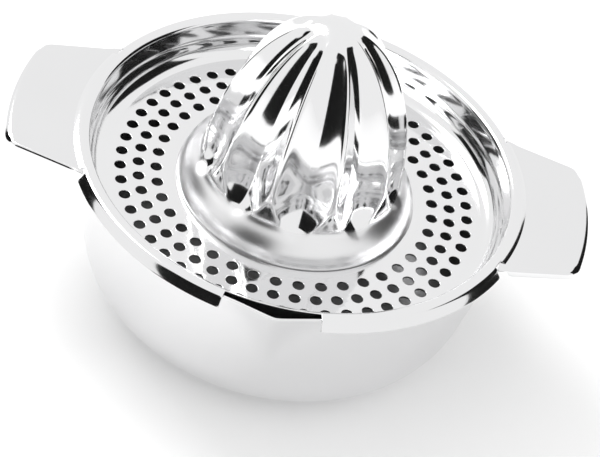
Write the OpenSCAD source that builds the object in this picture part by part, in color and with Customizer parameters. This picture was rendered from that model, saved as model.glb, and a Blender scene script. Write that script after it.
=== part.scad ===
// Two-piece sheet-steel citrus juicer: a juice bowl with a pouring lip, and a strainer
// tray that rests on its rim and carries a fluted reamer. +Z is up, the handles lie along X,
// the pouring lip faces -Y, and the origin is the centre of the bowl's flat base.

/* [Bowl] */
// Height of the bowl's rim above the surface it stands on
bowl_h = 61; // [50:1:80]
// Thickness of the bowl's sheet
bowl_wall = 0.8; // [0.6:0.1:1.2]
// Angle by which the bowl's wall leans outward, in degrees
bowl_lean = 9; // [4:1:12]
// Outside radius of the bend between the base and the wall
bowl_bend_r = 26; // [15:1:32]
// How far the pouring lip reaches past the rim
lip_reach = 3.1; // [2:0.1:4]
// Half the width of the pouring lip at the rim
lip_half_w = 14.5; // [10:0.5:16]
// How far down the wall the pouring lip's crease runs
lip_drop = 22; // [14:1:30]
// Turn of the bowl's lip within the play of the strainer's gap, in degrees
lip_turn = 1.2; // [0:0.1:1.5]

/* [Strainer] */
// Diameter of the strainer's rim at its crest
rim_d = 150; // [130:1:180]
// Height of the rim's top above the perforated plate
rim_rise = 14; // [11:0.5:20]
// Width of the rim from the well's mouth to the crest
rim_band = 4; // [3:0.1:6]
// Thickness of the strainer's sheet
sheet = 0.8; // [0.6:0.1:1.2]
// Lean of the well's wall, in degrees
well_lean = 8; // [4:1:12]
// Radius of the bend between the plate and the well's wall
well_bend_r = 5.5; // [3:0.5:7]
// Radius of the bend at the well's mouth
mouth_r = 1.5; // [1:0.1:2.5]
// Gap between the rim's underside and the bowl's rim
seat_gap = 0.2; // [0.1:0.1:0.4]
// Gap between the bowl's rim and the inside of the strainer's crest
crest_gap = 0.2; // [0.2:0.1:0.6]

/* [Straining holes] */
// Diameter of each hole
hole_d = 3.9; // [2.5:0.1:4.6]
// Distance from the reamer's foot to the innermost ring of holes
ring_margin = 7; // [5:0.5:8]
// Distance from one ring to the next
ring_step = 6; // [5:0.1:6]
// Number of holes in the inner, middle and outer ring
ring_counts = [40, 48, 52]; // [24:1:56]

/* [Skirt] */
// How far the skirt reaches below the rim's top
skirt_drop = 3.2; // [2.5:0.1:5]
// How far the skirt flares past the crest
skirt_flare = 2.1; // [1:0.1:3]
// Clearance on each side of the pouring lip in the skirt's gap over it
lip_gap = 1; // [0.5:0.25:3]
// How far the rim is trimmed back from the crest in that gap
gap_trim = 2.8; // [1.5:0.1:3]

/* [Handles] */
// How far a handle reaches past the rim's crest
handle_len = 23.3; // [15:0.1:35]
// Width of a handle where it leaves the rim
handle_root_w = 62; // [50:1:70]
// Angle by which each side of a handle leans inward, in degrees
handle_lean = 14; // [5:1:18]
// Radius of a handle's outer corners
handle_corner_r = 8; // [4:0.5:12]
// Height of the rim's top above a handle
handle_step = 0.6; // [0.4:0.1:2]
// Turn of the two handles from the X axis, in degrees
handle_turn = 0.8; // [0:0.1:2]
// Depth of the turned-down edge along a handle's sides
handle_side = 2.6; // [1.5:0.1:4]
// Depth of the turned-down lip at a handle's outer end
handle_lip = 4.6; // [3:0.1:6]
// Width of the notch between a handle's edge and the skirt
notch_w = 1.5; // [1:0.1:3]

/* [Reamer] */
// Height of the reamer's tip above the perforated plate
reamer_h = 69; // [50:1:80]
// Thickness of the reamer's sheet
reamer_wall = 0.8; // [0.6:0.1:1.2]
// Radius of the reamer's foot, where it passes through the plate
foot_r = 40; // [36:0.5:41]
// Height of the round shoulder below the ribs
shoulder_h = 11; // [8:0.5:14]
// How far the shoulder rounds inward
shoulder_w = 14; // [8:0.5:16]
// How far inside the foot's radius the ribs are widest
rib_inset = 6.5; // [4:0.5:10]
// Number of ribs
rib_count = 10; // [8:1:14]
// Turn of the ribs from the handles' axis, in degrees
rib_turn = 4.5; // [0:0.5:18]
// Depth of the hollow flutes between the ribs, where they are deepest
flute_depth = 5; // [2:0.5:6]
// Height of the flutes' lower ends above the perforated plate
flute_low = 8.5; // [7:0.5:12]
// Height over which a flute's lower end rounds off
flute_round = 12; // [6:1:16]
// Width of the flange that holds the reamer to the plate's underside
foot_flange_w = 3; // [2:0.5:4]
// Gap between the reamer's foot and the hole in the plate
foot_gap = 0.1; // [0.1:0.05:0.3]

/* [Hidden] */

round_fn = 180;
hole_fn = 48;
bend_steps = 8;
eps = 0.01;
cut = 2;

crest_r = rim_d / 2;
mouth_edge_r = crest_r - rim_band;
rim_top = bowl_h + seat_gap + sheet;
plate_top = rim_top - rim_rise;
bowl_r = crest_r - sheet - crest_gap;
skirt_r = crest_r + skirt_flare;
handle_reach = crest_r + handle_len;
ring_r = foot_r + ring_margin;
rib_r = foot_r - rib_inset;
gap_w = 2 * (lip_half_w + lip_gap);

// ---------- profiles ----------

// Points on an arc about c, from angle a0 to a1
function arc(c, r, a0, a1, n = bend_steps) =
    [for (i = [0:n]) let (a = a0 + (a1 - a0) * i / n) c + r * [cos(a), sin(a)]];

// Direction of a path at point i, averaged over its two sides
function heading(p, i) =
    let (a = p[max(i - 1, 0)], b = p[min(i + 1, len(p) - 1)]) (b - a) / norm(b - a);

// The path moved sideways by t, to the right of its direction when t is positive
function beside(p, t) =
    [for (i = [0:len(p) - 1]) let (h = heading(p, i)) p[i] + t * [h[1], -h[0]]];

function reversed(p) = [for (i = [len(p) - 1:-1:0]) p[i]];

// Centre of the bowl's bend, tangent to the base and to the leaning wall
bend_x = bowl_r - (bowl_bend_r + (bowl_h - bowl_bend_r) * sin(bowl_lean)) / cos(bowl_lean);

// The bowl's outline moved inward by t, from the axis to above the rim
function bowl_outline(t, top) =
    concat([[0, t]],
           arc([bend_x, bowl_bend_r], bowl_bend_r - t, -90, -bowl_lean, 2 * bend_steps),
           [[bowl_r - t / cos(bowl_lean) + (top - bowl_h) * tan(bowl_lean), top], [0, top]]);

// The upper surface of the strainer's sheet, from the reamer's hole out to the skirt's edge.
// mouth_c and well_c are the centres of the bends at the well's mouth and foot.
mouth_c = [mouth_edge_r + mouth_r * (1 - cos(well_lean)), rim_top - mouth_r];
wall_top = mouth_c + mouth_r * [-cos(well_lean), sin(well_lean)];
well_cz = plate_top + well_bend_r;
wall_foot_z = well_cz - well_bend_r * sin(well_lean);
well_c = [wall_top[0] - (wall_top[1] - wall_foot_z) * tan(well_lean) - well_bend_r * cos(well_lean),
          well_cz];
crest_bend_r = 1.2;
crest_c = [crest_r - crest_bend_r / 2, rim_top - crest_bend_r];
skirt_edge = [skirt_r, rim_top - skirt_drop];
skirt_slope = atan2(skirt_drop - crest_bend_r / 2, skirt_flare);
sheet_path = concat(
    [[foot_r + foot_gap, plate_top]],
    arc(well_c, well_bend_r, -90, -well_lean),
    arc(mouth_c, mouth_r, 180 - well_lean, 90),
    arc(crest_c, crest_bend_r, 90, 90 - skirt_slope, bend_steps / 2),
    [skirt_edge]);

// ---------- bowl ----------

// A wedge that bulges out of the wall at the front, moved inward by t
module lip_wedge(t, top) {
    back = -bowl_r / 2;
    side = -sqrt(pow(bowl_r, 2) - pow(lip_half_w, 2));
    low = bowl_h - lip_drop;
    low_r = bowl_r - lip_drop * tan(bowl_lean);
    lean = atan2(lip_reach + bowl_r + side, lip_half_w);
    in = t / cos(lean);
    translate([0, in, 0])
        hull() {
            translate([0, 0, bowl_h])
                linear_extrude(top - bowl_h + eps)
                    polygon([[-lip_half_w, side], [0, -bowl_r - lip_reach], [lip_half_w, side],
                             [lip_half_w, back], [-lip_half_w, back]]);
            translate([0, -low_r + eps, low])
                cylinder(h = eps, r = eps, $fn = 8);
            translate([0, back, low])
                cylinder(h = eps, r = eps, $fn = 8);
        }
}

module bowl() {
    color([0.86, 0.87, 0.88])
        rotate(lip_turn)
            difference() {
                intersection() {
                    union() {
                        rotate_extrude($fn = round_fn)
                            polygon(bowl_outline(0, bowl_h));
                        lip_wedge(0, bowl_h + cut);
                    }
                    translate([0, 0, bowl_h / 2])
                        cube([4 * crest_r, 4 * crest_r, bowl_h], center = true);
                }
                rotate_extrude($fn = round_fn)
                    polygon(bowl_outline(bowl_wall, bowl_h + cut));
                lip_wedge(bowl_wall, bowl_h + cut);
            }
}

// ---------- strainer tray ----------

module straining_holes() {
    for (k = [0:len(ring_counts) - 1]) {
        n = ring_counts[k];
        // The outer ring sits half a pitch round, so that its gap lies on the handles' axis
        first = k == len(ring_counts) - 1 ? 0.5 : 0;
        for (i = [0:n - 1])
            rotate((i + first) * 360 / n)
                translate([ring_r + k * ring_step, 0, plate_top - sheet - cut])
                    cylinder(h = sheet + 2 * cut, d = hole_d, $fn = hole_fn);
    }
}

// Takes the skirt and the crest away over the pouring lip
module front_gap() {
    translate([0, 0, rim_top - rim_rise])
        linear_extrude(rim_rise + cut)
            difference() {
                translate([-gap_w / 2, -2 * crest_r])
                    square([gap_w, 2 * crest_r]);
                circle(r = crest_r - gap_trim, $fn = round_fn);
            }
}

handle_top = rim_top - handle_step;
// Radius at which a handle's sheet meets the flared skirt
handle_join_r = crest_r - sheet;

// Takes the skirt away under the handles, with a notch on each side
module handle_relief() {
    w = handle_root_w + 2 * notch_w;
    translate([0, 0, plate_top])
        linear_extrude(handle_top - sheet - plate_top)
            difference() {
                rotate(handle_turn)
                    square([4 * crest_r, w], center = true);
                circle(r = mouth_edge_r + sheet + crest_gap, $fn = round_fn);
            }
}

// One handle's outline, moved inward by t: two leaning sides, an outer edge concentric
// with the rim, and round corners between them
function handle_outline(t) =
    let (r = handle_corner_r - t,
         reach = handle_reach - handle_corner_r,
         half = handle_root_w / 2 - handle_corner_r / cos(handle_lean) + crest_r * tan(handle_lean),
         // The corner's centre lies on a line parallel to the side, at the distance reach
         slope = tan(handle_lean),
         qa = 1 + slope * slope,
         qb = -2 * slope * half,
         qc = half * half - reach * reach,
         cx = (-qb + sqrt(qb * qb - 4 * qa * qc)) / (2 * qa),
         cy = half - slope * cx,
         turn = atan2(cy, cx),
         root_y = handle_root_w / 2 - t / cos(handle_lean)
                  + (crest_r - mouth_edge_r) * slope)
    concat([[mouth_edge_r, -root_y]],
           arc([cx, -cy], r, handle_lean - 90, -turn),
           [for (i = [1:bend_steps - 1]) let (a = -turn + 2 * turn * i / bend_steps)
               (handle_reach - t) * [cos(a), sin(a)]],
           arc([cx, cy], r, turn, 90 - handle_lean),
           [[mouth_edge_r, root_y]]);

module handle() {
    translate([0, 0, handle_top - sheet])
        linear_extrude(sheet)
            difference() {
                polygon(handle_outline(0));
                circle(r = handle_join_r, $fn = round_fn);
            }
    handle_edge(handle_side, skirt_r + notch_w);
    handle_edge(handle_lip, handle_reach - handle_corner_r / 2);
}

// The turned-down edge of a handle, to the given depth, outside the radius from_r
module handle_edge(depth, from_r) {
    translate([0, 0, handle_top - depth])
        linear_extrude(depth - sheet + eps)
            difference() {
                polygon(handle_outline(0));
                polygon(handle_outline(sheet));
                circle(r = from_r, $fn = round_fn);
            }
}

module strainer_tray() {
    color([0.9, 0.91, 0.92]) {
        difference() {
            rotate_extrude($fn = round_fn)
                polygon(concat(sheet_path, reversed(beside(sheet_path, sheet))));
            straining_holes();
            front_gap();
            handle_relief();
        }
        for (side = [0, 180])
            rotate(side + handle_turn)
                handle();
    }
}

// ---------- reamer ----------

rib_steps = 8;
round_steps = rib_count * rib_steps;
shoulder_steps = 5;
flute_steps = 6;
dome_steps = 14;
// Height over the plate at which the ribs are widest
rib_low = 8;

// Radius of the ribs' crests at height z above the plate: half an ellipse
function crest_at(z) =
    let (u = max(z - rib_low, 0) / (reamer_h - rib_low)) rib_r * sqrt(max(1 - u * u, 0));

// Radius of the round shoulder at height z above the plate
function shoulder_at(z) =
    z >= shoulder_h ? 0 : foot_r - shoulder_w + shoulder_w * sqrt(1 - pow(z / shoulder_h, 2));

// Depth of the flutes at height z: across is 0 in the middle of a flute and 1 on a rib
function flute_at(z, across) =
    let (v = max(flute_low + flute_round - z, 0) / flute_round)
    flute_depth * crest_at(z) / rib_r * max(1 - v * v - across * across, 0);

// Radius of the reamer's outside at height z and angle a
function reamer_at(z, a) =
    let (turn = (a - rib_turn) * rib_count / 360)
    max(shoulder_at(z), crest_at(z)) - flute_at(z, 2 * abs(turn - floor(turn) - 0.5));

// Heights of the rings, closer together at the flutes' lower ends and at the tip
dome_low = flute_low + flute_round;
ring_zs = concat(
    [for (i = [0:shoulder_steps - 1]) flute_low * sin(90 * i / shoulder_steps)],
    [for (i = [0:flute_steps - 1]) flute_low + flute_round * i / flute_steps],
    [for (i = [0:dome_steps - 1]) dome_low + (reamer_h - dome_low) * sin(90 * i / dome_steps)]);

// Angle of the ring's point j: one lies on each rib
function ring_angle(j) = rib_turn + 360 * j / round_steps;

// One ring of the reamer's outside
function outer_ring(z) =
    [for (j = [0:round_steps - 1]) let (a = ring_angle(j), r = reamer_at(z, a))
        [r * cos(a), r * sin(a), plate_top + z]];

// The same ring moved inward by the sheet's thickness, along the slope of the outside
function inner_ring(z) =
    [for (j = [0:round_steps - 1])
        let (a = ring_angle(j),
             step = 0.5,
             rise = min(z + step, reamer_h) - max(z - step, 0),
             lean = atan2(reamer_at(max(z - step, 0), a)
                          - reamer_at(min(z + step, reamer_h), a), rise),
             r = max(reamer_at(z, a) - reamer_wall * cos(lean), eps))
        [r * cos(a), r * sin(a), plate_top + z - reamer_wall * sin(lean)]];

function level_ring(r, z) =
    [for (j = [0:round_steps - 1]) let (a = ring_angle(j)) [r * cos(a), r * sin(a), z]];

// From the flange's rim, over the outside to the tip, and back inside
reamer_rings = concat(
    [level_ring(foot_r + foot_flange_w, plate_top - sheet),
     level_ring(foot_r, plate_top - sheet)],
    [for (z = ring_zs) outer_ring(z)]);
inside_rings = concat(
    [level_ring(foot_r + foot_flange_w, plate_top - sheet - reamer_wall),
     level_ring(foot_r - reamer_wall, plate_top - sheet - reamer_wall)],
    [for (z = ring_zs) inner_ring(z)]);

module reamer() {
    rows = len(reamer_rings);
    last = rows * round_steps;
    function id(side, i, j) = side * (last + 1) + i * round_steps + j % round_steps;
    outside = [for (r = reamer_rings) each r];
    inside = [for (r = inside_rings) each r];
    points = concat(outside, [[0, 0, plate_top + reamer_h]],
                    inside, [[0, 0, plate_top + reamer_h - reamer_wall]]);
    faces = concat(
        [for (i = [0:rows - 2]) for (j = [0:round_steps - 1]) each
            [[id(0, i, j), id(0, i + 1, j), id(0, i, j + 1)],
             [id(0, i, j + 1), id(0, i + 1, j), id(0, i + 1, j + 1)]]],
        [for (i = [0:rows - 2]) for (j = [0:round_steps - 1]) each
            [[id(1, i, j), id(1, i, j + 1), id(1, i + 1, j)],
             [id(1, i, j + 1), id(1, i + 1, j + 1), id(1, i + 1, j)]]],
        [for (j = [0:round_steps - 1]) each
            [[id(0, rows - 1, j), last, id(0, rows - 1, j + 1)],
             [id(1, rows - 1, j), id(1, rows - 1, j + 1), 2 * last + 1],
             [id(0, 0, j), id(0, 0, j + 1), id(1, 0, j)],
             [id(0, 0, j + 1), id(1, 0, j + 1), id(1, 0, j)]]]);
    color([0.88, 0.89, 0.9])
        polyhedron(points, faces, convexity = 10);
}

bowl();
strainer_tray();
reamer();
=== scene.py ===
import math
import bmesh
import bpy
from mathutils import Matrix, Vector


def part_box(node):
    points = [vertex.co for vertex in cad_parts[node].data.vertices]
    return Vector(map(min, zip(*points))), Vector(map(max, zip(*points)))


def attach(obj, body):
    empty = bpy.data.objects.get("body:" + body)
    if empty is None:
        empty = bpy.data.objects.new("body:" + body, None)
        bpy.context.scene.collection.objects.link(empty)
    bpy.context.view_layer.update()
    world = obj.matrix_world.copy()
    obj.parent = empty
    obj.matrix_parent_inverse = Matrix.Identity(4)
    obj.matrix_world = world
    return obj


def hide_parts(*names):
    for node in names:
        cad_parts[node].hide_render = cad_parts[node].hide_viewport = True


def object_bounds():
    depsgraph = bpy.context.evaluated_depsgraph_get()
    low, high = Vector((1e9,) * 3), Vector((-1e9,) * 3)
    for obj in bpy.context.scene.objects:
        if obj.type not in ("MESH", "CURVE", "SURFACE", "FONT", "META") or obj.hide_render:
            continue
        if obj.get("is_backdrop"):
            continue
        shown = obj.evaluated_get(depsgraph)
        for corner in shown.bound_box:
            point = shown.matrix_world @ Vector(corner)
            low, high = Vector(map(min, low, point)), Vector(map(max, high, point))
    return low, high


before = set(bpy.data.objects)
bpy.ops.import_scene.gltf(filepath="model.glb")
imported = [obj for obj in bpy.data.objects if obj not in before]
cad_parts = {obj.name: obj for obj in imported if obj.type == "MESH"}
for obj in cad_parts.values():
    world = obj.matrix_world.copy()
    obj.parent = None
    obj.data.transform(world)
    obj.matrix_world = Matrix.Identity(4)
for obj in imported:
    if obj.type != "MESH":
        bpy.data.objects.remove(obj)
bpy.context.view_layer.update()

for spare in ("Cube", "Light", "Camera"):
    if spare in bpy.data.objects:
        bpy.data.objects.remove(bpy.data.objects[spare])
bpy.ops.object.select_all(action="DESELECT")

MM = 0.001

# ---------- sizes, in metres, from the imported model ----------

bowl_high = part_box("bowl")[1]
tray_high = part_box("strainer_tray")[1]
reamer_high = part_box("reamer")[1]

SHEET = 0.8 * MM                      # thickness of all three pressings
RIM_TOP = tray_high.z                 # top of the strainer's rim
PLATE = RIM_TOP - 14 * MM             # top of the perforated plate
BOWL_RIM = bowl_high.z                # top of the bowl's rim
BOWL_R = bowl_high.x                  # radius of the bowl's rim
FOOT_R = 40 * MM                      # radius of the reamer's foot
REAMER_H = reamer_high.z - PLATE      # height of the reamer above the plate


# ---------- workshop helpers ----------

def ring(name, radius, height, count, fill="NOTHING", turn=0.0):
    """A circle of edges about the axis, left in edit mode with everything selected."""
    bpy.ops.object.select_all(action="DESELECT")
    bpy.ops.mesh.primitive_circle_add(vertices=count, radius=radius, fill_type=fill,
                                      location=(0, 0, height), rotation=(0, 0, turn))
    piece = bpy.context.object
    piece.name = piece.data.name = name
    bpy.ops.object.transform_apply(location=True, rotation=True, scale=True)
    bpy.ops.object.mode_set(mode="EDIT")
    bpy.ops.mesh.select_mode(type="VERT")
    bpy.ops.mesh.select_all(action="SELECT")
    return piece


def draw_sheet(path):
    """Extrudes the selected edges along a path of (radius, height), as a lathe would spin it."""
    for (r0, z0), (r1, z1) in zip(path, path[1:]):
        bpy.ops.mesh.extrude_edges_move(TRANSFORM_OT_translate={"value": (0, 0, z1 - z0)})
        bpy.ops.transform.resize(value=(r1 / r0, r1 / r0, 1), center_override=(0, 0, 0))


def select_where(piece, wanted):
    """Selects the vertices that wanted(radius, azimuth in degrees, height) accepts."""
    bm = bmesh.from_edit_mesh(piece.data)
    for part in (bm.verts, bm.edges, bm.faces):
        for item in part:
            item.select = False
    for v in bm.verts:
        x, y, z = v.co
        v.select = bool(wanted(math.hypot(x, y), math.degrees(math.atan2(y, x)), z))
    bm.select_flush_mode()
    bmesh.update_edit_mesh(piece.data)


def place_selected(piece, shape):
    """Moves each selected vertex to shape(its place)."""
    bm = bmesh.from_edit_mesh(piece.data)
    for v in bm.verts:
        if v.select:
            v.co = shape(v.co.copy())
    bmesh.update_edit_mesh(piece.data)


def arc(cx, cz, r, start, end, steps):
    """Points on an arc about (cx, cz), in degrees."""
    turns = [math.radians(start + (end - start) * i / steps) for i in range(steps + 1)]
    return [(cx + r * math.cos(t), cz + r * math.sin(t)) for t in turns]


def straight(a, b, steps):
    """Points from a to b, leaving a out."""
    return [(a[0] + (b[0] - a[0]) * i / steps, a[1] + (b[1] - a[1]) * i / steps)
            for i in range(1, steps + 1)]


def up(points):
    """Profile points written in millimetres from the axis and above the plate."""
    return [(r * MM, PLATE + z * MM) for r, z in points]


def soft_max(a, b, blend):
    """The larger of two numbers, rounded where they meet."""
    return (a + b + math.sqrt((a - b) ** 2 + blend * blend)) / 2


def look_out(piece, probe, direction):
    """Leaves edit mode with the sheet's faces pointing along direction near the probe."""
    bpy.ops.mesh.select_all(action="SELECT")
    bpy.ops.mesh.remove_doubles(threshold=1e-6)
    bpy.ops.mesh.normals_make_consistent(inside=False)
    bpy.ops.object.mode_set(mode="OBJECT")
    nearest = min(piece.data.polygons, key=lambda p: (p.center - Vector(probe)).length)
    if nearest.normal.dot(Vector(direction)) < 0:
        piece.data.flip_normals()


def finish_pressing(piece, edge=0.18 * MM, smooth=32):
    """Gives the sheet its thickness and broken edges; bends under smooth degrees look round."""
    bpy.ops.object.select_all(action="DESELECT")
    piece.select_set(True)
    bpy.context.view_layer.objects.active = piece
    # Slot 1 takes the inside shell: a rougher satin steel whose darker colour is painted shade
    for _ in ("polished outside", "satin inside with painted shade"):
        piece.data.materials.append(None)
    wall = piece.modifiers.new("sheet thickness", "SOLIDIFY")
    wall.thickness = SHEET
    wall.offset = -1
    wall.use_even_offset = True
    wall.material_offset = 1
    bpy.ops.object.modifier_apply(modifier=wall.name)
    rounding = piece.modifiers.new("broken edges", "BEVEL")
    rounding.width = edge
    rounding.segments = 2
    rounding.limit_method = "ANGLE"
    rounding.angle_limit = math.radians(50)
    bpy.ops.object.modifier_apply(modifier=rounding.name)
    bpy.ops.object.shade_smooth_by_angle(angle=math.radians(smooth))
    weights = piece.modifiers.new("true flats", "WEIGHTED_NORMAL")
    weights.weight = 80
    weights.keep_sharp = True
    bpy.ops.object.modifier_apply(modifier=weights.name)


# ---------- bowl ----------

BOWL_SEGMENTS = 288
LIP_TURN = math.radians(1.2)          # the lip's turn within the play of the strainer's gap
BEND_R = 26 * MM                      # bend between the base and the wall
WALL_LEAN = 9                         # outward lean of the wall, degrees
LIP_REACH = 76.95 * MM                # the lip's point, at the rim
LIP_FALL = 0.3                        # how fast the point draws back down the wall
LIP_SLANT = 0.3124                    # slope of the lip's two sides
LIP_CREASE = 0.014                    # softness of the crease between them
LIP_DEPTH = 24 * MM                   # how far down the wall the lip is pressed
LIP_SPAN = math.radians(20)           # the most it takes up to each side

lean = math.radians(WALL_LEAN)
bend_x = BOWL_R - (BEND_R + (BOWL_RIM - BEND_R) * math.sin(lean)) / math.cos(lean)
bend = arc(bend_x, BEND_R, BEND_R, -90, -WALL_LEAN, 22)
bowl_path = [(bend_x - 3 * MM, 0.0)] + bend + straight(bend[-1], (BOWL_R, BOWL_RIM), 26)

bowl = ring("bowl_pressing", bowl_path[0][0], 0, BOWL_SEGMENTS, fill="NGON", turn=LIP_TURN)
draw_sheet(bowl_path)


def press_lip(co):
    """Pushes the wall out into a shallow V at the front, fading down the wall."""
    radius, heading = math.hypot(co.x, co.y), math.atan2(co.x, -co.y) - LIP_TURN
    drop = BOWL_RIM - co.z
    if drop > LIP_DEPTH or abs(heading) > LIP_SPAN:
        return co
    side = math.sqrt(math.sin(heading) ** 2 + LIP_CREASE ** 2) - LIP_CREASE
    vee = (LIP_REACH - LIP_FALL * drop) / (math.cos(heading) + LIP_SLANT * side)
    blend = 0.25 * MM + 0.05 * drop
    pushed = max(soft_max(radius, vee, blend) - 0.02 * drop, radius)
    return Vector((co.x * pushed / radius, co.y * pushed / radius, co.z))


bpy.ops.mesh.select_all(action="SELECT")
place_selected(bowl, press_lip)
look_out(bowl, (BOWL_R, 0, BOWL_RIM / 2), (1, 0, 0))
finish_pressing(bowl)

# ---------- strainer tray ----------

RIM_SEGMENTS = 360
HOLE_R = 1.95 * MM
HOLE_EDGES = 32
HOLE_RINGS = ((47 * MM, 40, 0.0), (53 * MM, 48, 0.0), (59 * MM, 52, 0.5))  # radius, count, turn
FLAT_R = 62.6 * MM                    # the plate's flat ends here
FOOT_GAP = 0.3 * MM                   # between the reamer's foot and the plate's opening

# Plan of the plate: its edge, the reamer's opening and the straining holes
tray = ring("tray_pressing", FLAT_R, PLATE, RIM_SEGMENTS)
bpy.ops.object.mode_set(mode="OBJECT")
bpy.ops.object.select_all(action="DESELECT")
bpy.ops.mesh.primitive_circle_add(vertices=RIM_SEGMENTS, radius=FOOT_R + FOOT_GAP,
                                  fill_type="NOTHING", location=(0, 0, PLATE))
outlines = [bpy.context.object]
bpy.ops.mesh.primitive_circle_add(vertices=HOLE_EDGES, radius=HOLE_R, fill_type="NOTHING")
first_hole = bpy.context.object
outlines.append(first_hole)
for ring_r, count, shift in HOLE_RINGS:
    for i in range(count):
        turn = (i + shift) * math.tau / count
        place = Vector((ring_r * math.cos(turn), ring_r * math.sin(turn), PLATE))
        if ring_r == HOLE_RINGS[0][0] and i == 0:
            first_hole.location = place
            continue
        hole = first_hole.copy()
        hole.data = first_hole.data.copy()
        hole.location = place
        bpy.context.scene.collection.objects.link(hole)
        outlines.append(hole)
bpy.ops.object.select_all(action="DESELECT")
for outline in outlines:
    outline.select_set(True)
tray.select_set(True)
bpy.context.view_layer.objects.active = tray
bpy.ops.object.join()
bpy.ops.object.mode_set(mode="EDIT")
bpy.ops.mesh.select_all(action="SELECT")
bpy.ops.mesh.fill(use_beauty=True)

# The rim's mouth and crest: millimetres from the axis, and above the plate
MOUTH, CREST = (72.25, 14.0), (74.3, 13.93)

# Stretches of the rim, as azimuths in degrees; the pouring lip's gap lies about -90
BAND = (-78, 258)
SKIRTS = ((27, 155), (207, 258), (-78, -25))
HANDLE_STEPS = ((-23, 25), (157, 205))

# Plate edge, foot fillet, lower wall, pressed step, upper wall, mouth and flat of the rim
well_path = up([(62.6, 0), (63.2, 0), (63.8, 0)]
               + arc(63.9, 5.3, 5.3, -86, -14, 12)
               + [(69.15, 4.7), (69.22, 5.3), (69.30, 5.9), (69.38, 6.35)]
               + [(69.52, 6.75), (69.74, 7.15), (69.88, 7.45), (69.94, 7.8)]
               + straight((69.94, 7.8), (70.52, 12.2), 7)
               + arc(72.1, 12.4, 1.6, 176, 92, 9)[1:]
               + [MOUTH])
select_where(tray, lambda r, a, z: r > FLAT_R - 0.05 * MM)
draw_sheet(well_path)
edge_r = well_path[-1][0]             # radius of the sheet's last ring so far


def outer_edge(first, last):
    """Chooses the sheet's last ring from one azimuth round to another, in degrees."""
    def wanted(r, a, z):
        around = (a - first) % 360
        return r > edge_r - 0.02 * MM and around <= (last - first) % 360 + 0.01
    return wanted


# The rim goes on past the gap over the pouring lip everywhere but in that gap
band_path = up([MOUTH, (73.0, 14.0), (73.7, 13.98), CREST])
select_where(tray, outer_edge(*BAND))
draw_sheet(band_path)
edge_r = band_path[-1][0]

# Skirt: rolls over the crest and flares outward, in three stretches between handles and gap
skirt_path = up([CREST, (74.65, 13.82), (74.95, 13.62), (75.2, 13.32), (75.45, 12.9),
                 (75.75, 12.4), (76.1, 11.9), (76.5, 11.4), (76.85, 11.05), (77.05, 10.85)])
for first, last in SKIRTS:
    select_where(tray, outer_edge(first, last))
    draw_sheet(skirt_path)

# Under each handle's root the rim steps down to the handle's level
step_path = up([CREST, (74.8, 13.84), (75.3, 13.66), (75.8, 13.46), (76.2, 13.3),
                (76.6, 13.05)])
for first, last in HANDLE_STEPS:
    select_where(tray, outer_edge(first, last))
    draw_sheet(step_path)

look_out(tray, (62 * MM, 0, PLATE), (0, 0, 1))
finish_pressing(tray, edge=0.16 * MM)

# ---------- handles ----------

# In millimetres, but for the two angles and the top
REACH = 98.2                          # from the axis to the outer edge
ROOT_HALF, ROOT_AT = 31.0, 75.0       # half the width, and how far out it is measured
SIDE_LEAN = math.radians(14)
CORNER_R = 8.0
SIDE_STEPS, CORNER_STEPS, END_STEPS, ROOT_STEPS = 22, 18, 15, 24
SIDE_ROLL, END_ROLL = 0.9, 2.4        # radius of the rolled-down edge: sides, outer end
ROLL_FROM, ROLL_TO = 26, 34           # steps round the corner over which the roll widens
HANG, END_HANG = 1.6, 0.5             # the lip under the roll, and what the end adds to it
FADE_FROM, FADE_TO = 77.2, 79.2       # the roll starts between these radii
ROOT_X = 68.0                         # where the sides meet the rim
HANDLE_TURN = math.radians(0.8)
HANDLE_TOP = RIM_TOP - 0.6 * MM


def handle_outline(inset):
    """Half outline of a handle and its mirror, moved inward: side, corner, outer arc."""
    slope = math.tan(SIDE_LEAN)
    corner = CORNER_R
    reach = REACH - corner
    half = ROOT_HALF - corner / math.cos(SIDE_LEAN) + ROOT_AT * slope
    qa, qb, qc = 1 + slope * slope, -2 * slope * half, half * half - reach * reach
    cx = (-qb + math.sqrt(qb * qb - 4 * qa * qc)) / (2 * qa)
    cy = half - slope * cx
    turn = math.atan2(cy, cx)
    r = corner - inset
    points = []
    start_x, end_x = ROOT_X, cx + r * math.sin(SIDE_LEAN)
    for i in range(SIDE_STEPS):
        x = start_x + (end_x - start_x) * i / SIDE_STEPS
        y = ROOT_HALF - inset / math.cos(SIDE_LEAN) - (x - ROOT_AT) * slope
        points.append((x, y))
    for i in range(CORNER_STEPS + 1):
        t = math.pi / 2 - SIDE_LEAN + (turn - math.pi / 2 + SIDE_LEAN) * i / CORNER_STEPS
        points.append((cx + r * math.cos(t), cy + r * math.sin(t)))
    for i in range(1, END_STEPS):
        t = turn * (1 - i / END_STEPS)
        points.append(((REACH - inset) * math.cos(t), (REACH - inset) * math.sin(t)))
    points.append((REACH - inset, 0.0))
    return points + [(x, -y) for x, y in reversed(points[:-1])]


def ramp(x, low, high):
    """0 at low, 1 at high, smooth between."""
    t = min(max((x - low) / (high - low), 0), 1)
    return t * t * (3 - 2 * t)


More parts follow.
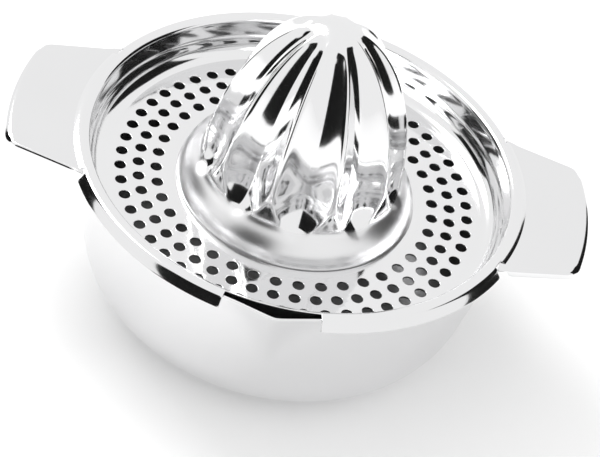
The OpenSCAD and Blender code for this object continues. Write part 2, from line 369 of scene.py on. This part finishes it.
def handle_rows():
    """Nested outlines from the flat's edge over the roll to the hanging lip."""
    outer, inner = handle_outline(0), handle_outline(1)
    middle = (len(outer) - 1) / 2
    made = []
    for angle, hang in [(a, 0.0) for a in range(0, 91, 10)] + [(90, 0.35), (90, 0.7), (90, 1.0)]:
        t = math.radians(angle)
        row = []
        for i, ((x0, y0), (x1, y1)) in enumerate(zip(outer, inner)):
            end = ramp(middle - abs(i - middle), ROLL_FROM, ROLL_TO)
            roll = SIDE_ROLL + (END_ROLL - SIDE_ROLL) * end
            inset = roll * (1 - math.sin(t))
            x, y = x0 + (x1 - x0) * inset, y0 + (y1 - y0) * inset
            lip = HANG + END_HANG * end
            fade = 0.12 + 0.88 * ramp(math.hypot(x0, y0), FADE_FROM, FADE_TO)
            fall = (roll * (1 - math.cos(t)) + lip * hang) * fade
            row.append(Vector((x * MM, y * MM, HANDLE_TOP - fall * MM)))
        made.append(row)
    return made


def key(co):
    """A vertex's place, rounded so that it can be looked up."""
    return tuple(round(c, 7) for c in co)


def handle(name, side):
    """One handle: a flat with its outer edges drawn down in steps from the flat's outline."""
    rows = handle_rows()
    count = len(rows[0])
    # The inner end follows the rim's crest
    inner = []
    for i in range(1, ROOT_STEPS):
        y = rows[0][-1].y + (rows[0][0].y - rows[0][-1].y) * i / ROOT_STEPS
        inner.append(Vector((math.sqrt((CREST[0] * MM) ** 2 - y * y), y, HANDLE_TOP)))
    piece = ring(name, 90 * MM, HANDLE_TOP, count + len(inner), fill="NGON")
    bm = bmesh.from_edit_mesh(piece.data)
    for v, place in zip(bm.verts, rows[0] + inner):
        v.co = place
    bmesh.update_edit_mesh(piece.data)
    for last, row in zip(rows, rows[1:]):
        index = {key(place): i for i, place in enumerate(last)}
        bm = bmesh.from_edit_mesh(piece.data)
        rim = [e for e in bm.edges
               if all(key(v.co) in index for v in e.verts) and len(e.link_faces) <= 1
               and abs(index[key(e.verts[0].co)] - index[key(e.verts[1].co)]) == 1]
        for item in list(bm.faces) + list(bm.edges):
            item.select = False
        for e in rim:
            e.select = True
        bmesh.update_edit_mesh(piece.data)
        bpy.ops.mesh.extrude_edges_move()
        place_selected(piece, lambda co: row[index[key(co)]])
    bpy.ops.mesh.select_all(action="SELECT")
    spun = Matrix.Rotation(HANDLE_TURN + (math.pi if side < 0 else 0), 4, "Z")
    place_selected(piece, lambda co: spun @ co)
    look_out(piece, (side * 85 * MM, 0, HANDLE_TOP), (0, 0, 1))
    finish_pressing(piece, edge=0.2 * MM)
    return piece


handles = [handle("handle_right", 1), handle("handle_left", -1)]

# ---------- reamer ----------

# In millimetres above the plate or from the axis, but for the turn and the shares
RIBS = 10
RIB_TURN = math.radians(4.5)
RIB_R, RIB_LOW = 33.5, 8.0            # radius of the ribs at their widest, and its height
RIB_ROUND = 0.085                     # half width of a rib's rounded top, in half flutes
SHOULDER_H, SHOULDER_W = 11.0, 14.0
SHOULDER_BLEND = 2.2                  # rounds the corner between the shoulder and the ribs
WAIST, WAIST_AT = 0.5, 9.0            # depth of the slight waist there, and its height
FLUTE_DEPTH, FLUTE_LOW = 6.0, 8.2     # depth of the flutes, and height of their lower ends
FLUTE_ROUND = 16.0                    # height over which the lower ends are rounded
FLUTE_FLAT = 3.0                      # the lower, the steeper the flutes' sides
FLUTE_EDGE, FLUTE_EASE = 0.07, 0.01   # softness of the flutes' outlines, and what it adds
FLUTE_FADE = 5.0                      # the flutes die away over this height below the tip
TIP = REAMER_H / MM - 0.1
TIP_R = 0.15                          # flat at the very tip
REAMER_SEGMENTS = 480


def rib_radius(z):
    """The ribs' outer edge at a height."""
    u = max(z - RIB_LOW, 0) / (TIP - RIB_LOW)
    return RIB_R * math.sqrt(max(1 - u * u, 0))


def shoulder_radius(z):
    """The round shoulder under the ribs; above it the value only falls away."""
    if z >= SHOULDER_H:
        return FOOT_R / MM - SHOULDER_W - 8 * (z - SHOULDER_H)
    return FOOT_R / MM - SHOULDER_W + SHOULDER_W * math.sqrt(1 - (z / SHOULDER_H) ** 2)


def reamer_radius(z, turn):
    """Shoulder and ribs with a rounded corner between them, less the hollow flutes."""
    body = soft_max(shoulder_radius(z), rib_radius(z), SHOULDER_BLEND if z < 40 else 0.0)
    body -= WAIST * max(0, 1 - abs(z - WAIST_AT) / WAIST_AT)
    around = (turn - RIB_TURN) * RIBS / math.tau
    across = 2 * abs(around - math.floor(around) - 0.5)
    across = 1 + RIB_ROUND - math.hypot(1 - across, RIB_ROUND)
    v = max(FLUTE_LOW + FLUTE_ROUND - z, 0) / FLUTE_ROUND
    hollow = 1 - v * v - across * across
    hollow = (hollow + math.hypot(hollow, FLUTE_EDGE)) / 2 - FLUTE_EASE
    hollow *= (1 + FLUTE_FLAT) / (hollow + FLUTE_FLAT)
    return body - FLUTE_DEPTH * rib_radius(z) / RIB_R * hollow * ramp(TIP - z, 0, FLUTE_FADE)


# Ring heights: even over the shoulder, close at the flutes' lower ends, closing on the tip
heights = ([0.0, 0.6, 1.2, 1.9, 2.6, 3.4, 4.2, 5.0, 5.8, 6.6, 7.2]
           + [7.7 + 0.45 * i for i in range(30)]
           + [21.2 + (TIP - 21.2) * math.sin(math.pi / 2 * i / 44) for i in range(44)])
# Flange under the plate, and the foot up through the plate's opening
foot_path = up([(43, -0.85), (40.5, -0.85), (40.12, -0.75), (40.0, -0.45), (40.0, 0)])
reamer = ring("reamer_pressing", *foot_path[0], REAMER_SEGMENTS, turn=math.radians(0.75))
draw_sheet(foot_path)
for low, high in zip(heights, heights[1:]):
    bpy.ops.mesh.extrude_edges_move(
        TRANSFORM_OT_translate={"value": (0, 0, (high - low) * MM)})

    def to_surface(co, z=high):
        turn = math.atan2(co.y, co.x)
        r = max(reamer_radius(z, turn), TIP_R) * MM
        return Vector((r * math.cos(turn), r * math.sin(turn), co.z))

    place_selected(reamer, to_surface)
bpy.ops.mesh.edge_face_add()
look_out(reamer, (38 * MM, 0, PLATE + 5 * MM), (1, 0, 0.3))
finish_pressing(reamer, smooth=50)

# ---------- materials ----------


def new_group(name, inputs, outputs):
    """An empty node group with number sockets, and its input and output nodes."""
    group = bpy.data.node_groups.new(name, "ShaderNodeTree")
    for label, value in inputs:
        socket = group.interface.new_socket(label, in_out="INPUT", socket_type="NodeSocketFloat")
        socket.default_value = value
    for label in outputs:
        group.interface.new_socket(label, in_out="OUTPUT", socket_type="NodeSocketFloat")
    return group, group.nodes.new("NodeGroupInput"), group.nodes.new("NodeGroupOutput")


def maths(tree, operation, a, b=None):
    """A Math node on two sockets or numbers."""
    node = tree.nodes.new("ShaderNodeMath")
    node.operation = operation
    for socket, value in zip(node.inputs, (a, b)):
        if value is None:
            continue
        if isinstance(value, (int, float)):
            socket.default_value = value
        else:
            tree.links.new(value, socket)
    return node.outputs[0]


def place_and_radius(group):
    """The point's coordinates on the piece, and its distance from the axis."""
    place = group.nodes.new("ShaderNodeTexCoord")
    split = group.nodes.new("ShaderNodeSeparateXYZ")
    group.links.new(place.outputs["Object"], split.inputs[0])
    x, y, z = split.outputs
    radius = maths(group, "SQRT", maths(group, "ADD", maths(group, "MULTIPLY", x, x),
                                        maths(group, "MULTIPLY", y, y)))
    return x, y, z, radius


def polishing_marks():
    """Fine lines left by the polishing wheel, running round the axis."""
    group, start, end = new_group("polishing marks", [("Fineness", 900.0), ("Spread", 6.0)],
                                  ["Lines"])
    x, y, z, radius = place_and_radius(group)
    turn = maths(group, "ARCTAN2", y, x)
    lines = group.nodes.new("ShaderNodeCombineXYZ")
    group.links.new(maths(group, "MULTIPLY", radius, start.outputs["Fineness"]), lines.inputs[0])
    group.links.new(maths(group, "MULTIPLY", turn, start.outputs["Spread"]), lines.inputs[1])
    group.links.new(maths(group, "MULTIPLY", z, start.outputs["Fineness"]), lines.inputs[2])
    noise = group.nodes.new("ShaderNodeTexNoise")
    noise.inputs["Scale"].default_value = 1.0
    noise.inputs["Detail"].default_value = 4.0
    group.links.new(lines.outputs[0], noise.inputs["Vector"])
    group.links.new(noise.outputs["Fac"], end.inputs["Lines"])
    return group


def handling_marks():
    """Faint cloudy film and small specks from use and washing."""
    group, start, end = new_group("handling marks", [("Cloud Size", 30.0), ("Speck Size", 700.0)],
                                  ["Film", "Specks"])
    place = group.nodes.new("ShaderNodeTexCoord")
    cloud = group.nodes.new("ShaderNodeTexNoise")
    cloud.inputs["Detail"].default_value = 3.0
    group.links.new(place.outputs["Object"], cloud.inputs["Vector"])
    group.links.new(start.outputs["Cloud Size"], cloud.inputs["Scale"])
    speck = group.nodes.new("ShaderNodeTexVoronoi")
    group.links.new(place.outputs["Object"], speck.inputs["Vector"])
    group.links.new(start.outputs["Speck Size"], speck.inputs["Scale"])
    group.links.new(cloud.outputs["Fac"], end.inputs["Film"])
    close = maths(group, "LESS_THAN", speck.outputs["Distance"], 0.06)
    group.links.new(close, end.inputs["Specks"])
    return group


def sheet_waves():
    """Shallow waves that pressing leaves in thin sheet."""
    group, start, end = new_group("sheet waves", [("Wave Size", 35.0)], ["Waves"])
    place = group.nodes.new("ShaderNodeTexCoord")
    noise = group.nodes.new("ShaderNodeTexNoise")
    noise.inputs["Detail"].default_value = 1.0
    group.links.new(place.outputs["Object"], noise.inputs["Vector"])
    group.links.new(start.outputs["Wave Size"], noise.inputs["Scale"])
    group.links.new(noise.outputs["Fac"], end.inputs["Waves"])
    return group


def foot_mask():
    """Where the polishing wheel hardly reaches: the shoulder and the feet of the ribs."""
    group, start, end = new_group("near the foot", [("Level", PLATE + 13.5 * MM),
                                                    ("Radius", 33 * MM)], ["Near"])
    _, _, z, radius = place_and_radius(group)
    below = maths(group, "SUBTRACT", start.outputs["Level"], z)
    beyond = maths(group, "SUBTRACT", radius, start.outputs["Radius"])
    near = []
    for distance, soft in ((below, 2.5 * MM), (beyond, 0.8 * MM)):
        fade = group.nodes.new("ShaderNodeMapRange")
        fade.interpolation_type = "SMOOTHSTEP"
        fade.inputs["From Min"].default_value = -soft
        fade.inputs["From Max"].default_value = soft
        group.links.new(distance, fade.inputs["Value"])
        near.append(fade.outputs["Result"])
    group.links.new(maths(group, "MULTIPLY", *near), end.inputs["Near"])
    return group


marks, film, waves, near_foot = polishing_marks(), handling_marks(), sheet_waves(), foot_mask()


def steel(name, colour, rough, rough_spread, wave_depth, line_depth, fineness, dull=0.0):
    """Stainless steel: film, lines and specks in the roughness, waves and lines in the bump."""
    material = bpy.data.materials.new(name)
    material.use_nodes = True
    tree = material.node_tree
    shader = tree.nodes["Principled BSDF"]
    shader.inputs["Metallic"].default_value = 1.0

    def placed(group, **values):
        node = tree.nodes.new("ShaderNodeGroup")
        node.node_tree = group
        for label, value in values.items():
            node.inputs[label.replace("_", " ")].default_value = value
        return node

    def bump(height, depth, under=None):
        node = tree.nodes.new("ShaderNodeBump")
        node.inputs["Strength"].default_value = 1.0
        node.inputs["Distance"].default_value = depth
        tree.links.new(height, node.inputs["Height"])
        if under:
            tree.links.new(under, node.inputs["Normal"])
        return node.outputs["Normal"]

    lines = placed(marks, Fineness=fineness, Spread=5.0)
    cloud = placed(film, Cloud_Size=26.0, Speck_Size=620.0)
    wave = placed(waves, Wave_Size=42.0)
    tint = tree.nodes.new("ShaderNodeMix")
    tint.data_type = "RGBA"
    filmed, clean = tint.inputs[6], tint.inputs[7]
    filmed.default_value = (*[c * 0.965 for c in colour], 1)
    clean.default_value = (*colour, 1)
    tree.links.new(cloud.outputs["Film"], tint.inputs[0])
    tree.links.new(tint.outputs[2], shader.inputs["Base Color"])
    film_part = maths(tree, "MULTIPLY", cloud.outputs["Film"], rough_spread)
    line_part = maths(tree, "MULTIPLY", lines.outputs["Lines"], rough_spread * 0.6)
    speck_part = maths(tree, "MULTIPLY", cloud.outputs["Specks"], 0.05)
    total = maths(tree, "ADD", maths(tree, "ADD", film_part, line_part),
                  maths(tree, "ADD", speck_part, rough - 0.8 * rough_spread))
    if dull:
        foot = placed(near_foot)
        total = maths(tree, "ADD", total, maths(tree, "MULTIPLY", foot.outputs["Near"], dull))
    tree.links.new(total, shader.inputs["Roughness"])
    broad = bump(wave.outputs["Waves"], wave_depth)
    fine = bump(lines.outputs["Lines"], line_depth, under=broad)
    tree.links.new(fine, shader.inputs["Normal"])
    return material


# Colour, roughness and its spread, depth of the waves and of the lines in metres, fineness
bowl_finish = steel("bowl polish", (0.80, 0.80, 0.805), 0.20, 0.05,
                    0.00012, 0.0000012, 900)
tray_finish = steel("tray mirror polish", (0.84, 0.84, 0.845), 0.09, 0.03,
                    0.00001, 0.0000003, 1100)
handle_finish = steel("handle polish", (0.82, 0.82, 0.825), 0.10, 0.03,
                      0.00010, 0.0000005, 900)
reamer_finish = steel("reamer mirror polish", (0.85, 0.85, 0.855), 0.085, 0.04,
                      0.00005, 0.0000004, 1000, dull=0.22)
# The insides are a rougher satin finish; their colour, darker than the outsides' steel, is
# painted shade on the undersides of the skirts and handles and in the pieces' hollow insides
satin_inside_painted_shade = steel("satin inside with painted shade", (0.36, 0.36, 0.365), 0.34, 0.05,
                      0.0001, 0.000002, 700)

for piece, finish, body, slot in (
        (bowl, bowl_finish, "bowl_body", "bowl_steel"),
        (tray, tray_finish, "tray_body", "tray_steel"),
        (handles[0], handle_finish, "tray_body", "tray_steel"),
        (handles[1], handle_finish, "tray_body", "tray_steel"),
        (reamer, reamer_finish, "tray_body", "reamer_steel")):
    piece.data.materials[0] = finish
    piece.data.materials[1] = satin_inside_painted_shade
    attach(piece, body)
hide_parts("bowl")
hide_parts("strainer_tray")
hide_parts("strainer_tray")
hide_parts("strainer_tray")
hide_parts("reamer")

# ---------- floor, light and camera ----------

CARD_AWAY = 0.45                      # the black cards' distance from the axis


def matt(name, shade, specular, glow=0.0):
    """Plain stuff for the floor and the cards."""
    material = bpy.data.materials.new(name)
    material.use_nodes = True
    surface = material.node_tree.nodes["Principled BSDF"].inputs
    surface["Base Color"].default_value = (shade, shade, shade, 1)
    surface["Roughness"].default_value = 0.9
    surface["Specular IOR Level"].default_value = specular
    surface["Emission Color"].default_value = (1, 1, 1, 1)
    surface["Emission Strength"].default_value = glow
    return material


bpy.ops.object.select_all(action="DESELECT")
bpy.ops.mesh.primitive_plane_add(size=6, location=(0, 0, -0.0002))
floor = bpy.context.object
floor.name = "floor"
floor.data.materials.append(matt("white paper", 0.9, 0.1, glow=0.1))
floor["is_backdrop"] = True


def area_light(name, place, aim, size, power):
    """A round softbox at place, turned toward aim."""
    lamp = bpy.data.lights.new(name, "AREA")
    lamp.shape = "DISK"
    lamp.size = size
    lamp.energy = power
    holder = bpy.data.objects.new(name, lamp)
    bpy.context.scene.collection.objects.link(holder)
    holder.location = place
    holder.rotation_euler = (Vector(aim) - Vector(place)).to_track_quat("-Z", "Y").to_euler()


area_light("key softbox", (-0.9, 0.8, 1.4), (0, 0, 0.03), 1.1, 18)

world = bpy.data.worlds.new("white studio")
bpy.context.scene.world = world
world.use_nodes = True
sky = world.node_tree
sky.nodes.clear()
sky_out = sky.nodes.new("ShaderNodeOutputWorld")
backdrop = sky.nodes.new("ShaderNodeBackground")
sky.links.new(backdrop.outputs[0], sky_out.inputs[0])
backdrop.inputs["Color"].default_value = (1.0, 1.0, 1.0, 1)
backdrop.inputs["Strength"].default_value = 1.0

black_felt = matt("black card", 0.01, 0.0)


def dark_card(name, toward, half, top):
    """A black card on the floor, seen only in the polish: heading, half width, top, degrees."""
    width = 2 * CARD_AWAY * math.tan(math.radians(half))
    height = PLATE + CARD_AWAY * math.tan(math.radians(top))
    turn = math.radians(toward)
    bpy.ops.mesh.primitive_plane_add(
        size=1, location=(CARD_AWAY * math.cos(turn), CARD_AWAY * math.sin(turn), height / 2),
        rotation=(math.pi / 2, 0, turn + math.pi / 2))
    card = bpy.context.object
    card.name = name
    card.scale = (width, height, 1)
    card.visible_camera = card.visible_diffuse = card.visible_shadow = False
    card.data.materials.append(black_felt)
    card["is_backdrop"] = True


dark_card("front_left_card", -118, 21, 52)
dark_card("right_card", 21, 24, 50)
dark_card("left_card", 168, 15, 32)

# Camera: above the front edge, rolled, and turned about 3 degrees from the handles' square
AIM = Vector((4.3 * MM, -20.26 * MM, PLATE))
DISTANCE = 0.6555
AZIMUTH, ELEVATION, ROLL_ANGLE = (math.radians(a) for a in (-3.09, 42.42, 15.8))
back = Vector((math.sin(AZIMUTH) * math.cos(ELEVATION),
               -math.cos(AZIMUTH) * math.cos(ELEVATION), math.sin(ELEVATION)))
level_right = (-back).cross(Vector((0, 0, 1))).normalized()
level_up = level_right.cross(-back)
right = level_right * math.cos(ROLL_ANGLE) + level_up * math.sin(ROLL_ANGLE)
top = -level_right * math.sin(ROLL_ANGLE) + level_up * math.cos(ROLL_ANGLE)
place = AIM + back * DISTANCE
lens = bpy.data.cameras.new("camera")
lens.sensor_width = 36
lens.lens = 120.24
camera = bpy.data.objects.new("camera", lens)
bpy.context.scene.collection.objects.link(camera)
camera.matrix_world = Matrix(((right.x, top.x, back.x, place.x),
                              (right.y, top.y, back.y, place.y),
                              (right.z, top.z, back.z, place.z),
                              (0, 0, 0, 1)))
bpy.context.scene.camera = camera
bpy.context.scene.view_settings.view_transform = "Standard"

low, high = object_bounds()
